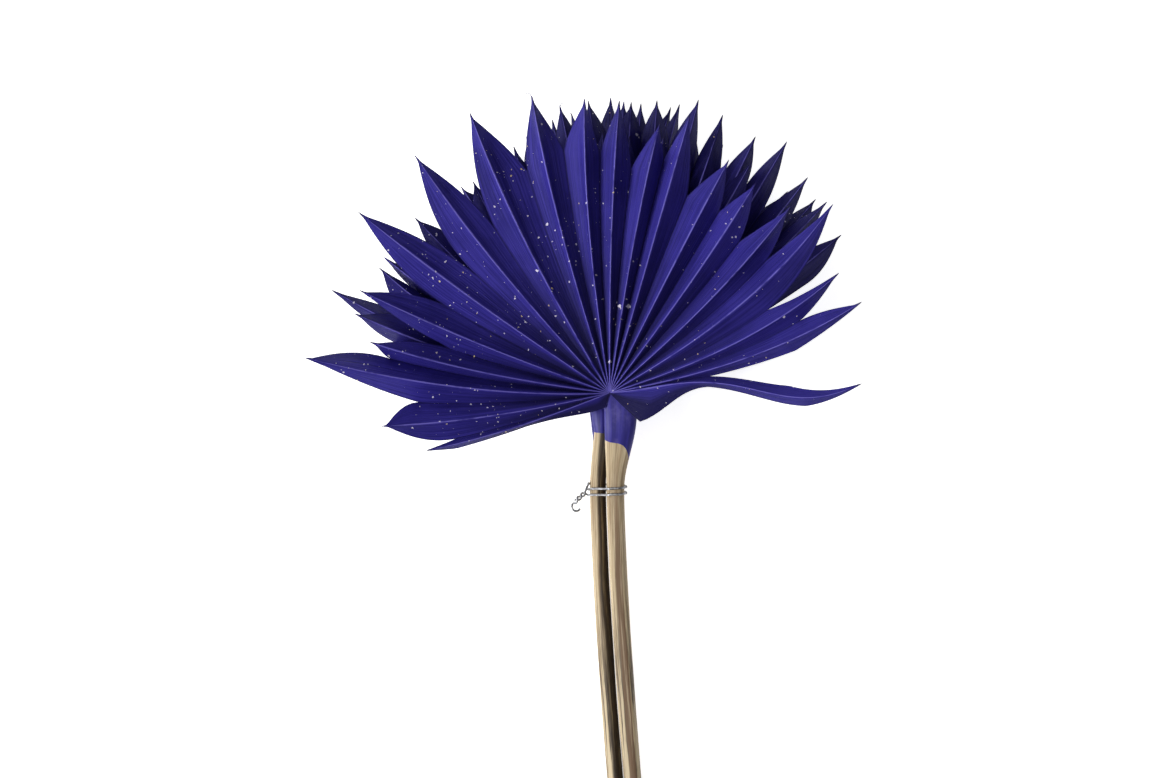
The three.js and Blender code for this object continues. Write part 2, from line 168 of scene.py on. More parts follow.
# Rings of a cut end: share of the stem's outline, how far up the stem they are set, and place in the UV map
PITH_RINGS = ((1, 0, 0), (0.93, -0.25, 0.02), (0.75, 0.1, 0.05), (0.45, 0.35, 0.1), (0.12, 0.3, 0.15))

# Meshes
SHARP_DEG = 42
MERGE_DIGITS = 3  # points of a fan that agree to the micrometre are one
TUBE_REFERENCE = (0.3, 0.2, 0.93)  # any direction in which no tube starts

# Numbers that scatter the jitter, and what is added to a leaf's seed for each thing that varies in its fan
JITTER_STEP = 12.9898
JITTER_SEED_STEP = 78.233
JITTER_SPREAD = 43758.5453
CURL_SEED = 10
FLANK_SEED = 20
FLUTTER_SEED = 30
SHIFT_SEED = 40
THREAD_SIDE_SEED = 50
THREAD_SIZE_SEED = 60

# Segments of the front fan, anticlockwise from its lower right:
# hub angle, tip angle, reach as a share of FAN_RADIUS, depth of the cut to the next segment
FRONT_SEGMENTS = [
    (4, 2.2, 0.838, 0.33), (11, 19.9, 0.89, 0.68), (18, 27.7, 0.86, 0.59), (30, 40.3, 0.97, 0.68),
    (41, 46, 0.86, 0.66), (53, 55.3, 0.85, 0.7), (64, 63, 0.87, 0.7), (74, 74, 0.96, 0.79),
    (82, 79.6, 0.91, 0.75), (90.3, 88.2, 0.97, 0.79), (98.8, 95, 0.98, 0.82), (108, 104.8, 1.02, 0.79),
    (121, 116.6, 1.04, 0.67), (133, 129.4, 1.02, 0.59), (146.5, 144.3, 1.03, 0.5), (160.5, 157.7, 0.9, 0.5),
    (172.5, 168, 0.815, 0.74), (183.5, 173.4, 1.02, 0.63), (192.5, 188.2, 0.77, 0.53),
    (201.5, 197.4, 0.64, 0.3),
]
SEGMENT_KEYS = ("hub_angle", "tip_angle", "reach", "cut")
# Front segments, by index, that are unlike the rest: sideways sway, bend, fullness, lopsidedness, angle of
# the free flank, place of the fold to the next segment, and depth of a second fold beside the ridge
FRONT_OWN = {
    0: {"sway": 4.2, "full": -0.05, "lopsided": 0.55, "flank": 1.2}, 1: {"full": 0.5, "lopsided": -0.3},
    2: {"full": 0, "fold": 0.37}, 10: {"crease": 0.2}, 11: {"fold": 0.38, "crease": 0.3},
    12: {"full": 0.5, "crease": 0.3}, 13: {"full": 0.9, "crease": 0.22}, 14: {"full": 1, "crease": 0.16},
    15: {"full": 1.1, "lopsided": -0.65}, 16: {"full": 1, "lopsided": -0.4, "fold": 0.37},
    17: {"bend": 0.8, "full": 0.65, "lopsided": -0.75}, 18: {"full": 1.25, "lopsided": -0.1, "fold": 0.78},
    19: {"flank": 1},
}


def jitter(index, seed):
    """A number from -1 to 1 that is always the same for the same index and seed."""
    wave = math.sin(index * JITTER_STEP + seed * JITTER_SEED_STEP) * JITTER_SPREAD
    return 2 * (wave - math.floor(wave)) - 1


def smoothstep(x, low, high):
    """0 where x is low, 1 where it is high, with a soft change between."""
    t = np.clip((x - low) / (high - low), 0, 1)
    return t * t * (3 - 2 * t)


def hump(x, middle, spread):
    """1 where x is in the middle, falling softly to 0 on both sides."""
    return np.exp(-((x - middle) / spread) ** 2)


def front_segments():
    return [
        {**dict(zip(SEGMENT_KEYS, values)), **FRONT_OWN.get(index, {})}
        for index, values in enumerate(FRONT_SEGMENTS)
    ]


def even_segments(start, end, count, reach, fall, seed, stray):
    """Segments of a fan that follows a rule, but for the stray ones, whose tip angle and reach are given.
    fall is how much shorter segments become with each degree to the right and to the left of MIDDLE_DEG."""
    pitch = (end - start) / (count - 1)
    segments = []
    for i in range(count):
        rule_angle = start + pitch * (i + ANGLE_JITTER * jitter(i, seed))
        off_middle = rule_angle - MIDDLE_DEG
        trimmed = reach * (1 - fall[0 if off_middle < 0 else 1] * abs(off_middle))
        rule_reach = trimmed * (1 + REACH_JITTER * jitter(i, seed + 1))
        tip_angle, own_reach = stray.get(i, (rule_angle, rule_reach))
        segments.append({
            "hub_angle": MIDDLE_DEG + off_middle * SPREAD_AT_HUB,
            "tip_angle": tip_angle,
            "reach": own_reach,
            "full": EVEN_FULLNESS,
            "cut": min(trimmed, own_reach) * (CUT_SHARE + CUT_JITTER * jitter(i, seed + 2)),
        })
    return segments


def row_height(row):
    return row * (STEM_HEIGHT * FLAT_SHARE + ROW_GAP)


# The leaves from the top of the stack to the bottom.
# Of a fan: hub is where its segments meet, rise how many degrees it climbs from there, depth that of its
# pleats at FAN_RADIUS, web how wide its webs at the hub are on the right and left, stations how many rows
# its mesh has from hub to tip, and threads which segments have a loose fibre at their tip.
# Of a stem: slot is where it lies at the tie, width its share of STEM_WIDTH, dye and cut the heights of its
# dye line and cut end, slant how far the dye line drops for each millimetre to the right, joint how far to
# the right of the hub it joins, broad how many times broader its head is, flare how much broader it becomes
# towards its head and from what height on, and groove where on top of it its groove runs and how deep it is.
LEAVES = [
    {
        "name": "front_leaf", "hub": (0, 0, 25.1), "rise": 10.2, "depth": 9, "web": (30, 6), "seed": 1,
        "slot": (2.4, row_height(2)), "width": 1.1, "dye": -21.5, "cut": -285, "slant": 0.26, "stations": 84,
        "threads": (11, 13), "joint": 4.6, "broad": 1.5, "flare": (0.85, TIE_Y), "groove": (0.2, 0.4),
        "segments": front_segments(),
    },
    {
        "name": "second_leaf", "hub": (-3, -1.5, 19.6), "rise": 7.7, "depth": 8, "web": (0, 0), "seed": 2,
        "slot": (-5, row_height(1)), "width": 1, "dye": -17, "cut": -300, "slant": 0.1, "stations": 60,
        "threads": (), "joint": 0, "broad": 1, "flare": (0.29, -17), "groove": (-0.85, 2.4),
        "segments": even_segments(57.5, 168, count=18, reach=0.87, fall=(0, 0), seed=2, stray={
            0: (57.7, 0.926), 1: (66.5, 0.931), 10: (121.1, 0.843), 12: (136.4, 0.869),
            14: (147.5, 0.867), 15: (150.1, 0.862), 16: (161.5, 0.874), 17: (168, 0.72),
        }),
    },
    {
        "name": "third_leaf", "hub": (5.5, -3, 14.1), "rise": 5.4, "depth": 8, "web": (0, 0), "seed": 3,
        "slot": (2.8, row_height(1)), "width": 1, "dye": -24, "cut": -292, "slant": 0.3, "stations": 60,
        "threads": (10,), "joint": 0, "broad": 1, "flare": (0.29, -24), "groove": (0.1, 0.5),
        "segments": even_segments(37.8, 165.8, count=21, reach=1.01, fall=(0.0018, 0.004), seed=3, stray={
            0: (37.1, 0.92), 1: (44.2, 0.953), 2: (50.3, 0.969), 3: (57.6, 1.027), 4: (63.3, 0.99),
            5: (70.7, 1.014), 6: (75.9, 1.039), 7: (83.5, 1.013), 8: (88.4, 1.001), 9: (96.6, 1.012),
            10: (102.1, 1.012),
        }),
    },
    {
        "name": "fourth_leaf", "hub": (3, -2.5, 8.6), "rise": 3.1, "depth": 8, "web": (0, 0), "seed": 4,
        "slot": (2.8, row_height(0)), "width": 1, "dye": -19, "cut": -305, "slant": -0.2, "stations": 60,
        "threads": (9,), "joint": 0, "broad": 1, "flare": (0.29, -19), "groove": (0.3, 0.4),
        "segments": even_segments(44.4, 167.3, count=22, reach=0.98, fall=(0.002, 0.002), seed=4, stray={
            0: (45.1, 0.95), 6: (78, 1.014), 7: (85.3, 1), 8: (91.2, 1.016), 9: (99, 0.974),
            19: (152.6, 0.873), 20: (159.1, 1.029),
        }),
    },
    {
        "name": "back_leaf", "hub": (-3.5, -4, HEAD_BELOW), "rise": 0.5, "depth": 8, "web": (0, 0), "seed": 5,
        "slot": (-5, row_height(0)), "width": 1, "dye": -21, "cut": -297, "slant": 0.25, "stations": 60,
        "threads": (), "joint": 0, "broad": 1, "flare": (0.29, -21), "groove": (-0.3, 0.6),
        "segments": even_segments(49.1, 158.9, count=19, reach=1, fall=(0.002, 0.004), seed=5, stray={
            5: (76.8, 1.027), 6: (85.7, 1.023),
        }),
    },
]


# Pleated fans

def trimmed_share(segment, side, t):
    """Share of a flank's width that is left, from the cut between two segments (0) to the tip (1)."""
    lean = np.clip((segment["tip_angle"] - MIDDLE_DEG) / LOPSIDED_BY_DEG, -1, 1)
    fullness = segment.get("full", TIP_FULLNESS) + segment.get("lopsided", TIP_LOPSIDED) * lean * side
    return (1 - t) ** TIP_TAPER * (1 + fullness * t)


def ridge_angle(segment, radius):
    share = radius / (segment["reach"] * FAN_RADIUS)
    turned = (segment["tip_angle"] - segment["hub_angle"]) * share ** segment.get("bend", TIP_BEND)
    return segment["hub_angle"] + turned + segment.get("sway", 0) * np.sin(2 * math.pi * share)


def free_flank_angle(segment, web, radius):
    """Angle that a last segment's free flank covers: next to the hub it has a web down to the stem."""
    width = web * hump(radius, 0, WEB_LENGTH)
    return segment.get("flank", OUTER_FLANK_DEG) + np.minimum(WEB_MOST_DEG, np.degrees(width / radius))


def valley_angle(leaf, index, radius):
    """Angle of the fold between two segments. Outside the fan's ends it is the free flank's edge."""
    segments = leaf["segments"]
    if index == 0:
        return ridge_angle(segments[0], radius) - free_flank_angle(segments[0], leaf["web"][0], radius)
    if index == len(segments):
        return ridge_angle(segments[-1], radius) + free_flank_angle(segments[-1], leaf["web"][1], radius)
    before = ridge_angle(segments[index - 1], radius)
    fold = segments[index - 1].get("fold", FOLD_PLACE)
    return before + (ridge_angle(segments[index], radius) - before) * fold


def flank(leaf, index, side, radii):
    """Angle that one flank covers at each radius, and the share of it that the trimming leaves."""
    segment = leaf["segments"][index]
    valley = index + (side + 1) // 2
    reach = segment["reach"] * FAN_RADIUS
    cut = leaf["segments"][max(0, valley - 1)]["cut"] * FAN_RADIUS
    full = valley_angle(leaf, valley, np.minimum(radii, cut)) - ridge_angle(segment, np.minimum(radii, cut))
    body_end = reach - NEEDLE_LENGTH / 2
    trimmed = trimmed_share(segment, side, np.clip((radii - cut) / (body_end - cut), 0, 1))
    needle_width = NEEDLE_HALF_WIDTH * (reach - radii) / NEEDLE_LENGTH
    needle = np.degrees(needle_width / radii) / np.abs(full)
    return full, np.where(radii <= cut, 1, np.maximum(trimmed, np.minimum(needle, 1)))


def segment_rows(segment, stations):
    reach = segment["reach"] * FAN_RADIUS
    inner = stations[stations < reach - NEEDLE_ROWS[0] - NEEDLE_ROW_GAP]
    return np.concatenate([inner, reach - NEEDLE_ROWS, [reach]])


def flank_sag(place, crease, chance):
    """How much lower than straight a flank is, from its ridge (0) to its edge (1)."""
    tent = np.minimum(place / CREASE_PLACE, (1 - place) / (1 - CREASE_PLACE))
    return crease * tent + (FLANK_HOLLOW + HOLLOW_VARIES * chance) * np.sin(math.pi * place)


def pleat_depth(leaf, degrees):
    """Depth of a fan's pleats at FAN_RADIUS, in each direction from the hub."""
    low_sides = smoothstep(degrees, *FLAT_RIGHT_DEG) + smoothstep(degrees, *FLAT_LOWEST_DEG)
    flat = np.maximum(low_sides, hump(degrees, *FLAT_UPPER_LEFT_DEG))
    return leaf["depth"] * (1 - SIDE_FLATNESS * flat + LEFT_STEEPNESS * hump(degrees, *STEEP_LEFT_DEG))


def segment_grid(leaf, index, radii):
    """Points of one segment: a row for each radius, from its right edge over its ridge to its left edge."""
    segment = leaf["segments"][index]
    reach = segment["reach"] * FAN_RADIUS
    seed = leaf["seed"]
    ridge = ridge_angle(segment, radii)
    curl = TIP_LIFT * jitter(index, seed + CURL_SEED) * (radii / reach) ** CURL_POWER
    flutter_length = FLUTTER_LENGTH + FLUTTER_VARIES * jitter(index, seed + FLUTTER_SEED)
    flutter = EDGE_FLUTTER * (radii / reach) ** FLUTTER_POWER
    climb = radii * math.tan(math.radians(leaf["rise"]))
    x, y, z = leaf["hub"]
    out = radii[:, None]
    halves = []
    for side in (-1, 1):
        angle, share = flank(leaf, index, side, radii)
        place = ACROSS[None, :] * share[:, None]
        fall = np.sqrt(place ** 2 + RIDGE_ROUNDING ** 2) - RIDGE_ROUNDING
        fall /= math.sqrt(1 + RIDGE_ROUNDING ** 2) - RIDGE_ROUNDING
        chance = jitter(index, seed + FLANK_SEED + side)
        fall += flank_sag(place, segment.get("crease", CREASE_DEPTH * max(0, chance)), chance)
        shifted = FLUTTER_SHIFT * jitter(index, seed + SHIFT_SEED + side)
        wave = flutter * np.sin(2 * math.pi * radii / flutter_length + shifted)
        free = smoothstep(1 - share, 0, FREE_SHARE)
        degrees = ridge[:, None] + angle[:, None] * place
        theta = np.radians(degrees)
        lift = np.where(share < 1, curl, 0)[:, None] * ACROSS ** 2 + curl[:, None] * (1 - ACROSS ** 2)
        pleat = (0.5 - fall) * pleat_depth(leaf, degrees) * (out / FAN_RADIUS) ** PLEAT_POWER
        height = z + climb[:, None] + pleat + lift + (wave * free)[:, None] * place
        above = np.maximum(height, SHEET_THICKNESS / 2)
        halves.append(np.stack([x + out * np.cos(theta), y + out * np.sin(theta), above], axis=-1))
    right, left = halves
    return np.concatenate([right[:, :0:-1], left], axis=1)


def merged(points, faces):
    """The same surface with points that coincide made one, and the faces that they close made smaller."""
    rounded = np.round(points, MERGE_DIGITS)
    _, first, index = np.unique(rounded, axis=0, return_index=True, return_inverse=True)
    index = index.ravel()
    kept = []
    for face in faces:
        corners = []
        for corner in face:
            if index[corner] not in [index[c] for c in corners]:
                corners.append(corner)
        if len(corners) > 2:
            kept.append(corners)
    return points[first], [[index[c] for c in face] for face in kept], kept


def point_normals(points, faces):
    """The direction out of a surface of triangles and quads at each of its points."""
    normals = np.zeros_like(points)
    for face in faces:
        diagonal = points[face[2]] - points[face[0]]
        normals[face] += np.cross(diagonal, points[face[-1]] - points[face[1]])
    return normals / np.linalg.norm(normals, axis=1)[:, None]


def blade_sheet(leaf):
    """Middle surface of a fan: its points and faces, and each point's place across, along and in a tip."""
    longest = max(segment["reach"] for segment in leaf["segments"]) * FAN_RADIUS
    stations = np.linspace(PLEAT_START, longest, leaf["stations"])
    across = np.concatenate([-ACROSS[:0:-1], ACROSS])
    columns = len(across)
    points, faces, places = [], [], []
    for index, segment in enumerate(leaf["segments"]):
        radii = segment_rows(segment, stations)
        first = sum(len(p) for p in points)
        points.append(segment_grid(leaf, index, radii).reshape(-1, 3))
        u, v = np.meshgrid(index + 0.5 + HALF_SEGMENT_U * across, radii / FAN_RADIUS)
        _, tip = np.meshgrid(across, smoothstep(radii, radii[-1] - TIP_DARK_LENGTH, radii[-1]))
        places.append(np.stack([u, v, tip], axis=-1).reshape(-1, 3))
        for row in range(len(radii) - 1):
            for column in range(columns - 1):
                corner = first + row * columns + column
                faces.append([corner, corner + columns, corner + columns + 1, corner + 1])
    return np.concatenate(points), faces, np.concatenate(places)


class Piece:
    """A mesh under construction: points, faces, places for each corner and a material for each face."""

    def __init__(self):
        self.points = []
        self.faces = []
        self.places = []
        self.materials = []

    def add(self, points, faces, places, material=0):
        first = len(self.points)
        self.points.extend(np.asarray(points).tolist())
        self.faces.extend([[first + corner for corner in face] for face in faces])
        self.places.extend(places)
        self.materials.extend([material] * len(faces))

    def make(self, name, node, materials):
        mesh = bpy.data.meshes.new(name)
        mesh.from_pydata(((np.array(self.points) + SHIFT) * MM).tolist(), [], self.faces)
        places = [place for face in self.places for place in face]
        along = mesh.uv_layers.new(name="Along")
        along.data.foreach_set("uv", np.array([place[:2] for place in places]).ravel())
        tip = mesh.uv_layers.new(name="Tip")
        in_tip = [(place[2] if len(place) > 2 else 0, 0) for place in places]
        tip.data.foreach_set("uv", np.array(in_tip).ravel())
        for material in materials:
            mesh.materials.append(material)
        mesh.polygons.foreach_set("material_index", self.materials)
        mesh.polygons.foreach_set("use_smooth", [True] * len(self.faces))
        mesh.set_sharp_from_angle(angle=math.radians(SHARP_DEG))
        piece = bpy.data.objects.new(name, mesh)
        bpy.context.scene.collection.objects.link(piece)
        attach(piece, "root")
        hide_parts(node)


def add_sheet(piece, points, faces, places):
    """Adds a sheet of SHEET_THICKNESS to a piece, given by its middle surface."""
    points, faces, corners = merged(points, faces)
    normals = point_normals(points, faces)
    count = len(points)
    skin = np.concatenate([points + normals * SHEET_THICKNESS / 2, points - normals * SHEET_THICKNESS / 2])
    uvs = [[places[c] for c in face] for face in corners]
    edges = {}
    for face, uv in zip(faces, uvs):
        for k, corner in enumerate(face):
            other = (k + 1) % len(face)
            edges[corner, face[other]] = (uv[k], uv[other])
    rim = [(a, b) for a, b in edges if (b, a) not in edges]
    rim_faces = [[b, a, a + count, b + count] for a, b in rim]
    rim_uvs = [[edges[edge][k] for k in (1, 0, 0, 1)] for edge in rim]
    below = [[corner + count for corner in reversed(face)] for face in faces]
    below_uvs = [list(reversed(uv)) for uv in uvs]
    piece.add(skin, faces + below + rim_faces, uvs + below_uvs + rim_uvs)


def add_loft(piece, rings, along, material=0, first_cap=True, last_cap=True):
    """Adds a skin over rings of equally many points. along is each ring's place along the UV map, and the
    caps close the first and the last ring."""
    sides = len(rings[0])
    faces, places = [], []
    for k in range(len(rings) - 1):
        for i in range(sides):
            a, b = k * sides + i, k * sides + (i + 1) % sides
            faces.append([a, b, b + sides, a + sides])
            u, w = i / sides, (i + 1) / sides
            places.append([(u, along[k]), (w, along[k]), (w, along[k + 1]), (u, along[k + 1])])
    if first_cap:
        faces.append(list(range(sides))[::-1])
        places.append([(0.5, along[0])] * sides)
    if last_cap:
        last = (len(rings) - 1) * sides
        faces.append(list(range(last, last + sides)))
        places.append([(0.5, along[-1])] * sides)
    piece.add(np.concatenate(rings), faces, places, material)


def add_tube(piece, route, radius, sides):
    """Adds a round tube along a route. radius is one number or a number for each point of the route."""
    route = np.asarray(route, float)
    radii = np.broadcast_to(radius, len(route))
    tangents = np.gradient(route, axis=0)
    side = np.cross(tangents[0], TUBE_REFERENCE)
    rings = []
    for point, tangent, thick in zip(route, tangents, radii):
        tangent = tangent / np.linalg.norm(tangent)
        side = side - tangent * np.dot(side, tangent)
        side = side / np.linalg.norm(side)
        up = np.cross(tangent, side)
        turns = np.arange(sides) / sides * 2 * math.pi
        rings.append(point + thick * (np.cos(turns)[:, None] * side + np.sin(turns)[:, None] * up))
    steps = np.linalg.norm(np.diff(route, axis=0), axis=1)
    add_loft(piece, rings, np.concatenate([[0], np.cumsum(steps)]) / FAN_RADIUS)


def thread_route(leaf, index):
    """A loose fibre that leaves a segment near its tip and curls away."""
    reach = leaf["segments"][index]["reach"] * FAN_RADIUS
    ridge = len(ACROSS) - 1
    start, tip = segment_grid(leaf, index, reach - THREAD_GUIDES)[:, ridge]
    ahead = (tip - start) / np.linalg.norm(tip - start)
    to_right = jitter(index, leaf["seed"] + THREAD_SIDE_SEED) > 0
    aside = np.cross(ahead, (0, 0, 1 if to_right else -1))
    size = THREAD_SIZE + jitter(index, leaf["seed"] + THREAD_SIZE_SEED)
    t = np.linspace(0, 1, THREAD_POINTS)[:, None]
    turn = THREAD_TURN * t
    curl = ahead * np.sin(turn) * THREAD_AHEAD + aside * (1 - np.cos(turn)) * THREAD_ASIDE
    return tip - ahead + size * curl + t ** 2 * (0, 0, THREAD_RISE)


# Stems

def stem_seat(leaf, y):
    """Where a stem lies at heights y of the bunch, as its middles in X and its undersides in Z."""
    hub_x, hub_y, hub_z = leaf["hub"]
    slot_x, slot_z = leaf["slot"]
    head_end = hub_y - HEAD_LENGTH
    low = hub_z - HEAD_BELOW
    share = smoothstep(head_end - y, 0, head_end - TIE_Y)
    below = np.maximum(TIE_Y - y, 0)
    lean = LEAN * (below / LEAN_LENGTH) ** LEAN_POWER
    settled = TIE_LIFT * smoothstep(below, 0, SETTLE_LENGTH)
    joint_x = hub_x + leaf["joint"]
    return joint_x + (slot_x - joint_x) * share + lean, low + (slot_z + TIE_LIFT - low) * share - settled


def stem_size(leaf, y):
    """Width and height of a stem at heights y. It becomes broader and flatter towards its head."""
    head_end = leaf["hub"][1] - HEAD_LENGTH
    flare, start = leaf["flare"]
    width = STEM_WIDTH * leaf["width"] * (1 + flare * smoothstep(y, start, head_end))
    flatter = HEAD_FLATTER * smoothstep(y, head_end - HEAD_FLATTER_LENGTH, head_end)
    return width, STEM_HEIGHT - flatter


def stem_ring(leaf, y, slant=0, section=None):
    """A ring round a stem, flat underneath, with a groove on top. slant is its drop towards the right.
    section is the ring's width, height and raised underside where it isn't simply the stem's."""
    turns = (np.arange(STEM_SIDES) + 0.5) / STEM_SIDES * 2 * math.pi - math.pi / 2
    across = np.cos(turns)
    drop = across + DYE_BOW * (across ** 2 + across ** 3)
    along = y - slant * stem_size(leaf, y)[0] / 2 * drop
    width, height, raised = section or (*stem_size(leaf, along), 0)
    seed = leaf["seed"]
    lobes = LOBE_DEPTH * (1 + np.sin(LOBES * turns + along / LOBE_LENGTH + seed))
    knobbly = 1 - lobes - KNOB_DEPTH * (1 + np.sin(along / KNOB_LENGTH + 2 * seed))
    groove_turn, groove_depth = leaf["groove"]
    groove = groove_depth * hump(turns, math.pi / 2 + groove_turn, GROOVE_WIDTH)
    x, underside = stem_seat(leaf, along)
    middle = underside + raised + height / 2 * FLAT_SHARE
    up = middle + height / 2 * knobbly * np.sin(turns) - groove * height / STEM_HEIGHT
    up = np.maximum(up, underside + raised)
    return np.stack([x + width / 2 * knobbly * across, along, up], axis=1)


def add_head(piece, leaf):
    """The dyed head of a stem: a rounded boss in the hub that narrows down to the slanting dye line."""
    hub_y = leaf["hub"][1]
    rings = [
        stem_ring(leaf, hub_y + along, section=(leaf["broad"] * width, height, raised))
        for along, width, height, raised in HEAD_SECTIONS
    ]
    for share in np.linspace(0, 1, HEAD_STEPS):
        y = hub_y - HEAD_LENGTH + (leaf["dye"] - hub_y + HEAD_LENGTH) * share
        rings.append(stem_ring(leaf, y, leaf["slant"] * share))
    add_loft(piece, rings, [ring[:, 1].mean() / FAN_RADIUS for ring in rings], material=1)


def make_blade(leaf, leaf_material, head_material):
    piece = Piece()
    add_sheet(piece, *blade_sheet(leaf))
    add_head(piece, leaf)
    thinning = np.linspace(THREAD_RADIUS, THREAD_RADIUS / THREAD_THINNING, THREAD_POINTS)
    for index in leaf["threads"]:
        add_tube(piece, thread_route(leaf, index), thinning, THREAD_SIDES)
    node = leaf["name"] + "_blade"
    piece.make(leaf["name"] + "_fan", node, [leaf_material, head_material])


def make_stem(leaf, straw_material, pith_material):
    dye, cut = leaf["dye"], leaf["cut"]
    upper = np.linspace(dye, UPPER_END, UPPER_RINGS)
    lower = np.linspace(LOWER_START, cut, LOWER_RINGS)
    stations = np.concatenate([upper, lower])
    slants = leaf["slant"] * (1 - smoothstep(dye - stations, 0, SLANT_LENGTH))
    rings = [stem_ring(leaf, y, slant) for y, slant in zip(stations, slants)]
    piece = Piece()
    add_loft(piece, rings, stations / FAN_RADIUS, last_cap=False)
    last = rings[-1]
    middle = last.mean(axis=0)
    end = [middle + (last - middle) * share + np.array([0, up, 0]) for share, up, _ in PITH_RINGS]
    add_loft(piece, end, [place for _, _, place in PITH_RINGS], material=1, first_cap=False)
    node = leaf["name"] + "_stem"
    piece.make(leaf["name"] + "_stalk", node, [straw_material, pith_material])


# Wire tie

def wrap_point(angle_deg, y):
    """Where a taut wire round all the stems lies, in the direction of an angle about the bundle."""
    out = np.array([math.cos(math.radians(angle_deg)), math.sin(math.radians(angle_deg))])
    outline = np.concatenate([stem_ring(leaf, y)[:, [0, 2]] for leaf in LEAVES])
    at = outline[np.argmax(outline @ out)] + out * (WIRE_RADIUS + WIRE_GAP)
    return Vector((at[0], y, at[1]))


def wire_route():
    """Points of the wire: a hook, a twisted end, the turns round the stems and the other twisted end."""
    top_y = TIE_Y + WIRE_PITCH * WIRE_TURNS / 2
    loops = []
    for k in range(LOOP_STEPS + 1):
        turns = WIRE_TURNS * k / LOOP_STEPS
        loops.append(wrap_point(WIRE_START_DEG + 360 * turns, top_y - WIRE_PITCH * turns))
    side = TAIL_DIRECTION.cross(Vector((0, 0, 1))).normalized()
    up = side.cross(TAIL_DIRECTION)
    root = (loops[0] + loops[-1]) / 2 + TAIL_DIRECTION * TAIL_START

    def strand(t, phase):
        turn = 2 * math.pi * TAIL_TWISTS * t + phase
        around = side * math.cos(turn) + up * math.sin(turn)
        return root + TAIL_DIRECTION * TAIL_LENGTH * t + around * TAIL_RADIUS

    shares = [k / TAIL_STEPS for k in range(TAIL_STEPS + 1)]
    long_end = [strand(share, math.pi / 2) for share in shares]
    short_end = [strand(TAIL_SHORT_SHARE * share, -math.pi / 2) for share in shares]
    eye = strand(1, math.pi / 2) - side * HOOK_RADIUS
    hook = []
    for k in range(HOOK_STEPS + 1):
        turn = math.radians(HOOK_FROM_DEG + (HOOK_TO_DEG - HOOK_FROM_DEG) * k / HOOK_STEPS)
        hook.append(eye + (side * math.cos(turn) + TAIL_DIRECTION * math.sin(turn)) * HOOK_RADIUS)
    return hook[::-1] + long_end[::-1] + loops + short_end


def rounded_route(points, steps_between=4):
    """A smooth route through points."""
    points = np.array([tuple(p) for p in points])
    padded = np.concatenate([points[:1] * 2 - points[1:2], points, points[-1:] * 2 - points[-2:-1]])
    t = np.arange(steps_between)[:, None] / steps_between
    route = []
    for k in range(1, len(points)):
        a, b, c, d = padded[k - 1:k + 3]
        route.append(0.5 * (2 * b + (c - a) * t + (2 * a - 5 * b + 4 * c - d) * t ** 2
                            + (3 * b - a - 3 * c + d) * t ** 3))
    return np.concatenate(route + [points[-1:]])


def make_wire(material):
    piece = Piece()
    add_tube(piece, rounded_route(wire_route()), WIRE_RADIUS, WIRE_SIDES)
    piece.make("tie_loop", "wire_tie", [material])


# Materials

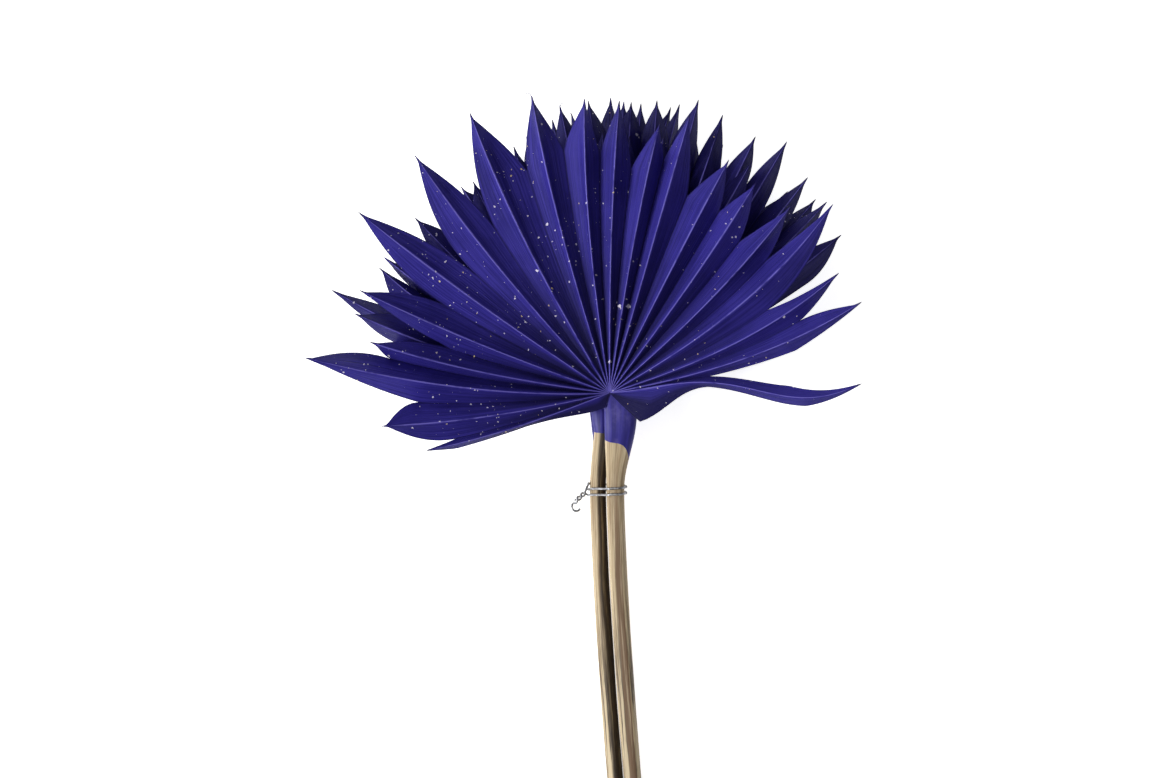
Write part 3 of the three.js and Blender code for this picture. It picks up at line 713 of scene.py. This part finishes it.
class Nodes:
    """Short names for the nodes of one material."""

    def __init__(self, name):
        self.material = bpy.data.materials.new(name)
        self.material.use_nodes = True
        self.tree = self.material.node_tree
        self.shader = self.tree.nodes["Principled BSDF"]

    def node(self, kind, **settings):
        made = self.tree.nodes.new(kind)
        for key, value in settings.items():
            setattr(made, key, value)
        return made

    def put(self, socket, value):
        if isinstance(value, bpy.types.NodeSocket):
            self.tree.links.new(value, socket)
        else:
            socket.default_value = value

    def math(self, operation, *values):
        made = self.node("ShaderNodeMath", operation=operation)
        for socket, value in zip(made.inputs, values):
            self.put(socket, value)
        return made.outputs[0]

    def scaled(self, value, factor, plus=0.0):
        return self.math("MULTIPLY_ADD", value, factor, plus)

    def ramp(self, value, low, high):
        """0 where value is low, 1 where it is high, with a soft change between."""
        made = self.node("ShaderNodeMapRange", interpolation_type="SMOOTHSTEP")
        self.put(made.inputs["Value"], value)
        made.inputs["From Min"].default_value = low
        made.inputs["From Max"].default_value = high
        return made.outputs["Result"]

    def mix(self, share, a, b):
        """Colour a where share is 0, colour b where it is 1, by the node's sockets for colours."""
        made = self.node("ShaderNodeMix", data_type="RGBA")
        self.put(made.inputs[0], share)
        self.put(made.inputs[6], a)
        self.put(made.inputs[7], b)
        return made.outputs[2]

    def tinge(self, base, tint, where, most):
        """A base that takes on at most a share of a tint where a mask is 1."""
        return self.mix(self.scaled(where, most), base, tint)

    def vector(self, x, y, z=0.0):
        made = self.node("ShaderNodeCombineXYZ")
        for socket, value in zip(made.inputs, (x, y, z)):
            self.put(socket, value)
        return made.outputs[0]

    def noise(self, vector, scale, detail=3.0, roughness=0.55):
        made = self.node("ShaderNodeTexNoise")
        self.put(made.inputs["Vector"], vector)
        made.inputs["Scale"].default_value = scale
        made.inputs["Detail"].default_value = detail
        made.inputs["Roughness"].default_value = roughness
        return made.outputs["Fac"]

    def fibres(self, u, v, across, along, detail, roughness):
        """Noise drawn out along a piece: how many times it changes across and along the UV map."""
        stretched = self.vector(self.scaled(u, across), self.scaled(v, along))
        return self.noise(stretched, 1.0, detail, roughness)

    def place(self, uv_map="Along"):
        """Place across and along the piece, from one of its UV maps."""
        place = self.node("ShaderNodeUVMap", uv_map=uv_map).outputs[0]
        parts = self.node("ShaderNodeSeparateXYZ")
        self.put(parts.inputs[0], place)
        return parts.outputs[0], parts.outputs[1]

    def position(self):
        return self.node("ShaderNodeTexCoord").outputs["Object"]

    def bump(self, height, distance, strength, under=None):
        made = self.node("ShaderNodeBump")
        self.put(made.inputs["Height"], height)
        made.inputs["Distance"].default_value = distance
        made.inputs["Strength"].default_value = strength
        if under:
            self.put(made.inputs["Normal"], under)
        return made.outputs[0]

    def finish(self, **sockets):
        for name, value in sockets.items():
            self.put(self.shader.inputs[name.replace("_", " ")], value)
        return self.material


def colour(red, green, blue):
    """A colour given in the 0 to 255 of a picture, as the shader takes it."""
    linear = [((c / 255 + 0.055) / 1.055) ** 2.4 if c > 10 else c / 255 / 12.92 for c in (red, green, blue)]
    return (*linear, 1.0)


# The next colour is a darker tone of the dye, and also the colour of the painted shade in the folds, in the
# valleys, at the hub and over the rear leaves.
DYE_DARK_AND_SHADE = colour(21, 18, 63)
DYE_DEEP = colour(35, 30, 110)
DYE_MIDDLE = colour(53, 46, 141)
DYE_LIGHT = colour(73, 65, 171)
DYE_WORN_AND_HIGHLIGHT = colour(118, 110, 204)
DYE_DRIED = colour(30, 24, 52)
DYE_DULL = colour(92, 84, 150)
STRAW_LIGHT = colour(208, 190, 156)
STRAW_MIDDLE = colour(180, 158, 124)
STRAW_BROWN = colour(136, 110, 80)
STRAW_DARK = colour(64, 54, 46)
STRAW_STAIN = colour(112, 86, 62)
FLAKE_PALE = colour(204, 198, 218)
FLAKE_GOLDEN = colour(212, 190, 142)
STEEL_BRIGHT = colour(196, 198, 202)
STEEL_DULL = colour(118, 118, 122)
FLOOR_PALE = colour(250, 250, 250)
FLOOR_PALER = colour(253, 253, 253)
# Cells a metre, size of the largest flakes in them and share of them that hold one where flakes are thickest
FLAKE_LAYERS = ((260, 0.24, 0.06), (700, 0.3, 0.1), (1300, 0.38, 0.045))
FLAKE_JOSTLE = 0.0009  # metres by which the cells wander
FLAKE_JOSTLE_SCALE = 1500
FLAKE_CLUSTER_SCALE = 46
FLAKE_CLUSTER = (0.46, 0.74)  # noise between which flakes go from none to thickest
FLAKES_GROW = (0.09, -0.04)  # metres in X between which clusters become larger
FLAKES_GROW_BY = 0.12
FLAKE_RAGGED_SCALE = 1100
FLAKE_RAGGED = 0.6
PITH_PORE_SCALE = 1500
WHITE = (1, 1, 1, 1)
FLOOR_GLOW = 0.8


def specks(n, position):
    """Small pale and golden flakes that cling to the dye in clusters, most of them on the left."""
    place = n.node("ShaderNodeSeparateXYZ")
    n.put(place.inputs[0], position)
    flat = n.vector(place.outputs[0], place.outputs[1])
    wander = n.node("ShaderNodeTexNoise")
    n.put(wander.inputs["Vector"], flat)
    wander.inputs["Scale"].default_value = FLAKE_JOSTLE_SCALE
    jostle = n.node("ShaderNodeVectorMath", operation="MULTIPLY_ADD")
    n.put(jostle.inputs[0], wander.outputs["Color"])
    jostle.inputs[1].default_value = (FLAKE_JOSTLE, FLAKE_JOSTLE, 0)
    n.put(jostle.inputs[2], flat)
    leftward = n.ramp(place.outputs[0], *FLAKES_GROW)
    cluster = n.scaled(leftward, FLAKES_GROW_BY, n.noise(flat, FLAKE_CLUSTER_SCALE, roughness=0.6))
    thickness = n.ramp(cluster, *FLAKE_CLUSTER)
    ragged = n.scaled(n.math("SUBTRACT", n.noise(flat, FLAKE_RAGGED_SCALE, detail=2), 0.5), FLAKE_RAGGED)
    flake, tint = 0.0, FLAKE_PALE
    for scale, largest, most in FLAKE_LAYERS:
        cells = n.node("ShaderNodeTexVoronoi", voronoi_dimensions="2D")
        n.put(cells.inputs["Vector"], jostle.outputs[0])
        cells.inputs["Scale"].default_value = scale
        pick = n.node("ShaderNodeSeparateColor")
        n.put(pick.inputs[0], cells.outputs["Color"])
        size = n.scaled(n.math("POWER", pick.outputs[1], 3.0), largest)
        near = n.math("LESS_THAN", n.math("ADD", cells.outputs["Distance"], ragged), size)
        shown = n.math("MULTIPLY", near, n.math("LESS_THAN", pick.outputs[0], n.scaled(thickness, most)))
        golden = n.ramp(pick.outputs[2], 0.74, 0.95)
        tint = n.mix(shown, tint, n.mix(golden, FLAKE_PALE, FLAKE_GOLDEN))
        flake = n.math("MAXIMUM", flake, shown)
    return flake, tint


def dyed_leaf(name, painted_shade):
    """Blade of a leaf. The second argument is a share of painted shade laid over the whole blade, for the
    rear leaves, which lie in the front leaf's shadow.
    """
    n = Nodes(name)
    u, v = n.place()
    position = n.position()
    from_ridge = n.math("ABSOLUTE", n.math("SUBTRACT", n.math("FRACT", u), 0.5))
    fibre = n.fibres(u, v, across=24.0, along=1.6, detail=4, roughness=0.65)
    fine = n.fibres(u, v, across=60.0, along=3.0, detail=2, roughness=0.5)
    patch = n.noise(position, 38)
    tone = n.math("ADD", n.scaled(fibre, 0.65), n.scaled(patch, 0.35))
    base = n.mix(n.ramp(tone, 0.38, 0.62), DYE_DEEP, DYE_MIDDLE)
    base = n.tinge(base, DYE_LIGHT, n.ramp(fine, 0.54, 0.72), 0.45)
    base = n.tinge(base, DYE_DARK_AND_SHADE, n.ramp(fine, 0.46, 0.3), 0.4)
    # Painted shade: darker along the valleys between segments and along their cut edges.
    base = n.tinge(base, DYE_DARK_AND_SHADE, n.ramp(from_ridge, 0.44, HALF_SEGMENT_U), 0.6)
    # Painted shade: the folds are darker towards the hub, where the steep pleats shade them.
    painted_fold_shade = n.math("MULTIPLY", n.ramp(v, 0.62, 0.1), n.ramp(from_ridge, 0.03, 0.25))
    base = n.tinge(base, DYE_DARK_AND_SHADE, painted_fold_shade, 0.92)
    # Painted shade: darker at the middle of the hub, where the folds meet, and darker all over by the share
    # of painted shade that the blade was given.
    base = n.mix(n.scaled(n.ramp(v, 0.05, 0.01), 0.6, painted_shade), base, DYE_DARK_AND_SHADE)
    # Lighter thin lines along the ridges: partly dye rubbed off, partly a painted highlight.
    ridge_wear_and_highlight = n.math("MULTIPLY", n.ramp(from_ridge, 0.022, 0.0), n.ramp(n.noise(position, 120), 0.22, 0.52))
    base = n.tinge(base, DYE_WORN_AND_HIGHLIGHT, ridge_wear_and_highlight, 0.8)
    tip, _ = n.place("Tip")
    base = n.tinge(base, DYE_DRIED, n.ramp(n.noise(position, 60, detail=2), 0.3, 0.6), tip)
    flake, tint = specks(n, position)
    base = n.mix(flake, base, tint)
    rough = n.scaled(fibre, 0.22, 0.4)
    veins = n.bump(n.scaled(fine, 0.5, fibre), distance=0.0005, strength=0.7)
    creased = n.bump(n.noise(position, 70), distance=0.0012, strength=0.22, under=veins)
    return n.finish(Base_Color=base, Roughness=rough, Normal=creased, Specular_IOR_Level=0.12)


def dyed_stem():
    n = Nodes("dyed_stem")
    u, v = n.place()
    streak = n.fibres(u, v, across=22.0, along=4.0, detail=4, roughness=0.6)
    patch = n.noise(n.position(), 160)
    base = n.mix(n.ramp(streak, 0.35, 0.68), DYE_DEEP, DYE_MIDDLE)
    base = n.tinge(base, DYE_DULL, n.ramp(patch, 0.5, 0.75), 0.5)
    rough = n.scaled(patch, 0.25, 0.38)
    ribs = n.bump(streak, distance=0.0004, strength=0.5)
    return n.finish(Base_Color=base, Roughness=rough, Normal=ribs, Specular_IOR_Level=0.4)


def straw(name, dark_band, dark_band_colour, place, reach, head_share=1.0):
    """Bare stem with a dark band along it: a brown streak on the front stem, painted shade on the second stem
    where the gap beside the front stem lies, and faintly darker on the others. place is where the band lies
    round the stem, from its underside anticlockwise, reach how far it goes from there, and head_share how
    much of it is left at the head."""
    n = Nodes(name)
    u, v = n.place()
    position = n.position()
    swaying = n.math("ADD", n.scaled(u, 16.0), n.scaled(n.noise(position, 9, detail=2), 2.0))
    grain = n.fibres(swaying, v, across=1.0, along=2.6, detail=4, roughness=0.6)
    broad = n.fibres(swaying, v, across=0.6, along=1.9, detail=4, roughness=0.65)
    fine = n.fibres(u, v, across=70.0, along=5.0, detail=3, roughness=0.6)
    lines = n.fibres(u, v, across=44.0, along=0.8, detail=2, roughness=0.5)
    base = n.mix(n.ramp(grain, 0.38, 0.66), STRAW_LIGHT, STRAW_MIDDLE)
    base = n.tinge(base, STRAW_BROWN, n.ramp(lines, 0.55, 0.62), 0.55)
    base = n.tinge(base, STRAW_BROWN, n.ramp(fine, 0.5, 0.72), 0.45)
    base = n.tinge(base, STRAW_BROWN, n.ramp(broad, 0.5, 0.6), 0.6)
    aged = n.math("MULTIPLY", n.ramp(v, -0.5, -1.1), n.ramp(broad, 0.47, 0.55))
    base = n.tinge(base, STRAW_DARK, aged, n.ramp(fine, 0.2, 0.6))
    wander = n.scaled(n.math("SUBTRACT", n.noise(position, 30), 0.5), reach)
    aside = n.math("ABSOLUTE", n.math("ADD", n.math("SUBTRACT", u, place), wander))
    patchy = n.math("MULTIPLY", n.ramp(aside, reach, reach * 0.6), n.ramp(grain, 0.2, 0.5))
    strength = n.scaled(n.ramp(v, -0.2, -0.6), dark_band * (1 - head_share), dark_band * head_share)
    base = n.tinge(base, dark_band_colour, patchy, strength)
    rough = n.scaled(grain, 0.3, 0.38)
    ribs = n.bump(n.math("ADD", grain, fine), distance=0.0004, strength=0.6)
    return n.finish(Base_Color=base, Roughness=rough, Normal=ribs, Specular_IOR_Level=0.4)


def pith():
    n = Nodes("pith")
    position = n.position()
    pores = n.node("ShaderNodeTexVoronoi")
    n.put(pores.inputs["Vector"], position)
    pores.inputs["Scale"].default_value = PITH_PORE_SCALE
    base = n.mix(n.ramp(n.noise(position, 500), 0.35, 0.65), STRAW_MIDDLE, STRAW_BROWN)
    base = n.mix(n.ramp(pores.outputs["Distance"], 0.35, 0.1), base, STRAW_DARK)
    pitted = n.bump(pores.outputs["Distance"], distance=0.0004, strength=0.7)
    return n.finish(Base_Color=base, Roughness=0.85, Normal=pitted)


def steel_wire():
    n = Nodes("steel_wire")
    dull = n.noise(n.position(), 700)
    base = n.mix(n.ramp(dull, 0.4, 0.7), STEEL_BRIGHT, STEEL_DULL)
    rough = n.scaled(dull, 0.3, 0.24)
    uneven = n.bump(dull, distance=0.0001, strength=0.4)
    return n.finish(Base_Color=base, Roughness=rough, Metallic=1.0, Normal=uneven)


def pale_floor():
    n = Nodes("pale_floor")
    base = n.mix(n.noise(n.position(), 40, detail=2), FLOOR_PALE, FLOOR_PALER)
    n.finish(Emission_Color=WHITE, Emission_Strength=FLOOR_GLOW)
    return n.finish(Base_Color=base, Roughness=0.9, Specular_IOR_Level=0.1)


# Pieces

def frame_shift():
    """Where the shapes' millimetres lie in the frame, from the tips of the front fan's solid."""
    low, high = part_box("front_leaf_blade")
    tips = []
    for segment in LEAVES[0]["segments"]:
        turn = math.radians(segment["tip_angle"])
        reach = segment["reach"] * FAN_RADIUS
        tips.append((reach * math.cos(turn), reach * math.sin(turn)))
    return np.array([low.x / MM - min(x for x, _ in tips), high.y / MM - max(y for _, y in tips), 0])


SHIFT = frame_shift()


def make_leaves():
    front_look = dyed_leaf("dyed_leaf", painted_shade=0.0)
    # Painted shade: a darker copy of the blade's material for the rear leaves, which lie in the front leaf's
    # shadow.
    shaded_rear_look = dyed_leaf("shaded_dyed_leaf", painted_shade=0.55)
    head_look = dyed_stem()
    plain_straw = straw("straw", dark_band=0.15, dark_band_colour=STRAW_DARK, place=0.385, reach=0.16)
    straws = {
        "front_leaf": straw(
            "front_straw", dark_band=0.95, dark_band_colour=STRAW_STAIN, place=0.47, reach=0.08, head_share=0.3),
        # Painted shade: a dark band along the second stem's upper right side, where the shaded gap beside the
        # front stem lies.
        "second_leaf": straw("shaded_straw", dark_band=0.95, dark_band_colour=STRAW_DARK, place=0.385, reach=0.16),
    }
    pith_look = pith()
    for leaf in LEAVES:
        name = leaf["name"]
        make_blade(leaf, front_look if name == "front_leaf" else shaded_rear_look, head_look)
        make_stem(leaf, straws.get(name, plain_straw), pith_look)


make_leaves()
make_wire(steel_wire())


# Floor
FLOOR_HALF = 8.0
FLOOR_DROP = 0.0003  # keeps the floor clear of the lowest faces
FLOOR_CORNERS = ((-1, -1), (1, -1), (1, 1), (-1, 1))
floor_mesh = bpy.data.meshes.new("floor")
corners = [(x * FLOOR_HALF, y * FLOOR_HALF, -FLOOR_DROP) for x, y in FLOOR_CORNERS]
floor_mesh.from_pydata(corners, [], [(0, 1, 2, 3)])
floor_mesh.materials.append(pale_floor())
floor = bpy.data.objects.new("floor", floor_mesh)
bpy.context.scene.collection.objects.link(floor)


# Light: a large soft key from the left, a weaker one past the tips, a broad fill from above, and a pale room
FAN_MIDDLE = Vector((0.0, 0.13, 0.03))
ROOM_STRENGTH = 0.12


def soft_light(name, place, size, power):
    """A square light that shines on the middle of the fan."""
    data = bpy.data.lights.new(name, "AREA")
    data.size = size
    data.energy = power
    light = bpy.data.objects.new(name, data)
    light.location = place
    light.rotation_euler = (FAN_MIDDLE - Vector(place)).to_track_quat("-Z", "Y").to_euler()
    bpy.context.scene.collection.objects.link(light)


soft_light("key", place=(-0.82, -0.12, 0.63), size=0.38, power=10.6)
soft_light("tips", place=(-0.75, 1.15, 0.75), size=0.6, power=5)
soft_light("fill", place=(0.2, 0.1, 2.4), size=2.2, power=10)
world = bpy.data.worlds.new("room")
world.use_nodes = True
room = world.node_tree.nodes["Background"]
room.inputs["Color"].default_value = WHITE
room.inputs["Strength"].default_value = ROOM_STRENGTH
bpy.context.scene.world = world
bpy.context.scene.view_settings.view_transform = "Standard"

# Camera straight above, as the picture was taken
IMAGE_WIDTH = 1168
MM_A_PIXEL = 0.42
VIEW_MIDDLE = (-10.92, 1.68)  # from the front hub
VIEW_HEIGHT = 40  # height of the front fan at which the scale holds
LENS = 150
SENSOR_WIDTH = 36
CLIP_END = 20
camera_data = bpy.data.cameras.new("camera")
camera_data.lens = LENS
camera_data.sensor_width = SENSOR_WIDTH
camera_data.clip_end = CLIP_END
camera = bpy.data.objects.new("camera", camera_data)
distance = LENS / SENSOR_WIDTH * IMAGE_WIDTH * MM_A_PIXEL
camera.location = Vector((VIEW_MIDDLE[0] + SHIFT[0], VIEW_MIDDLE[1] + SHIFT[1], VIEW_HEIGHT + distance)) * MM
bpy.context.scene.collection.objects.link(camera)
bpy.context.scene.camera = camera
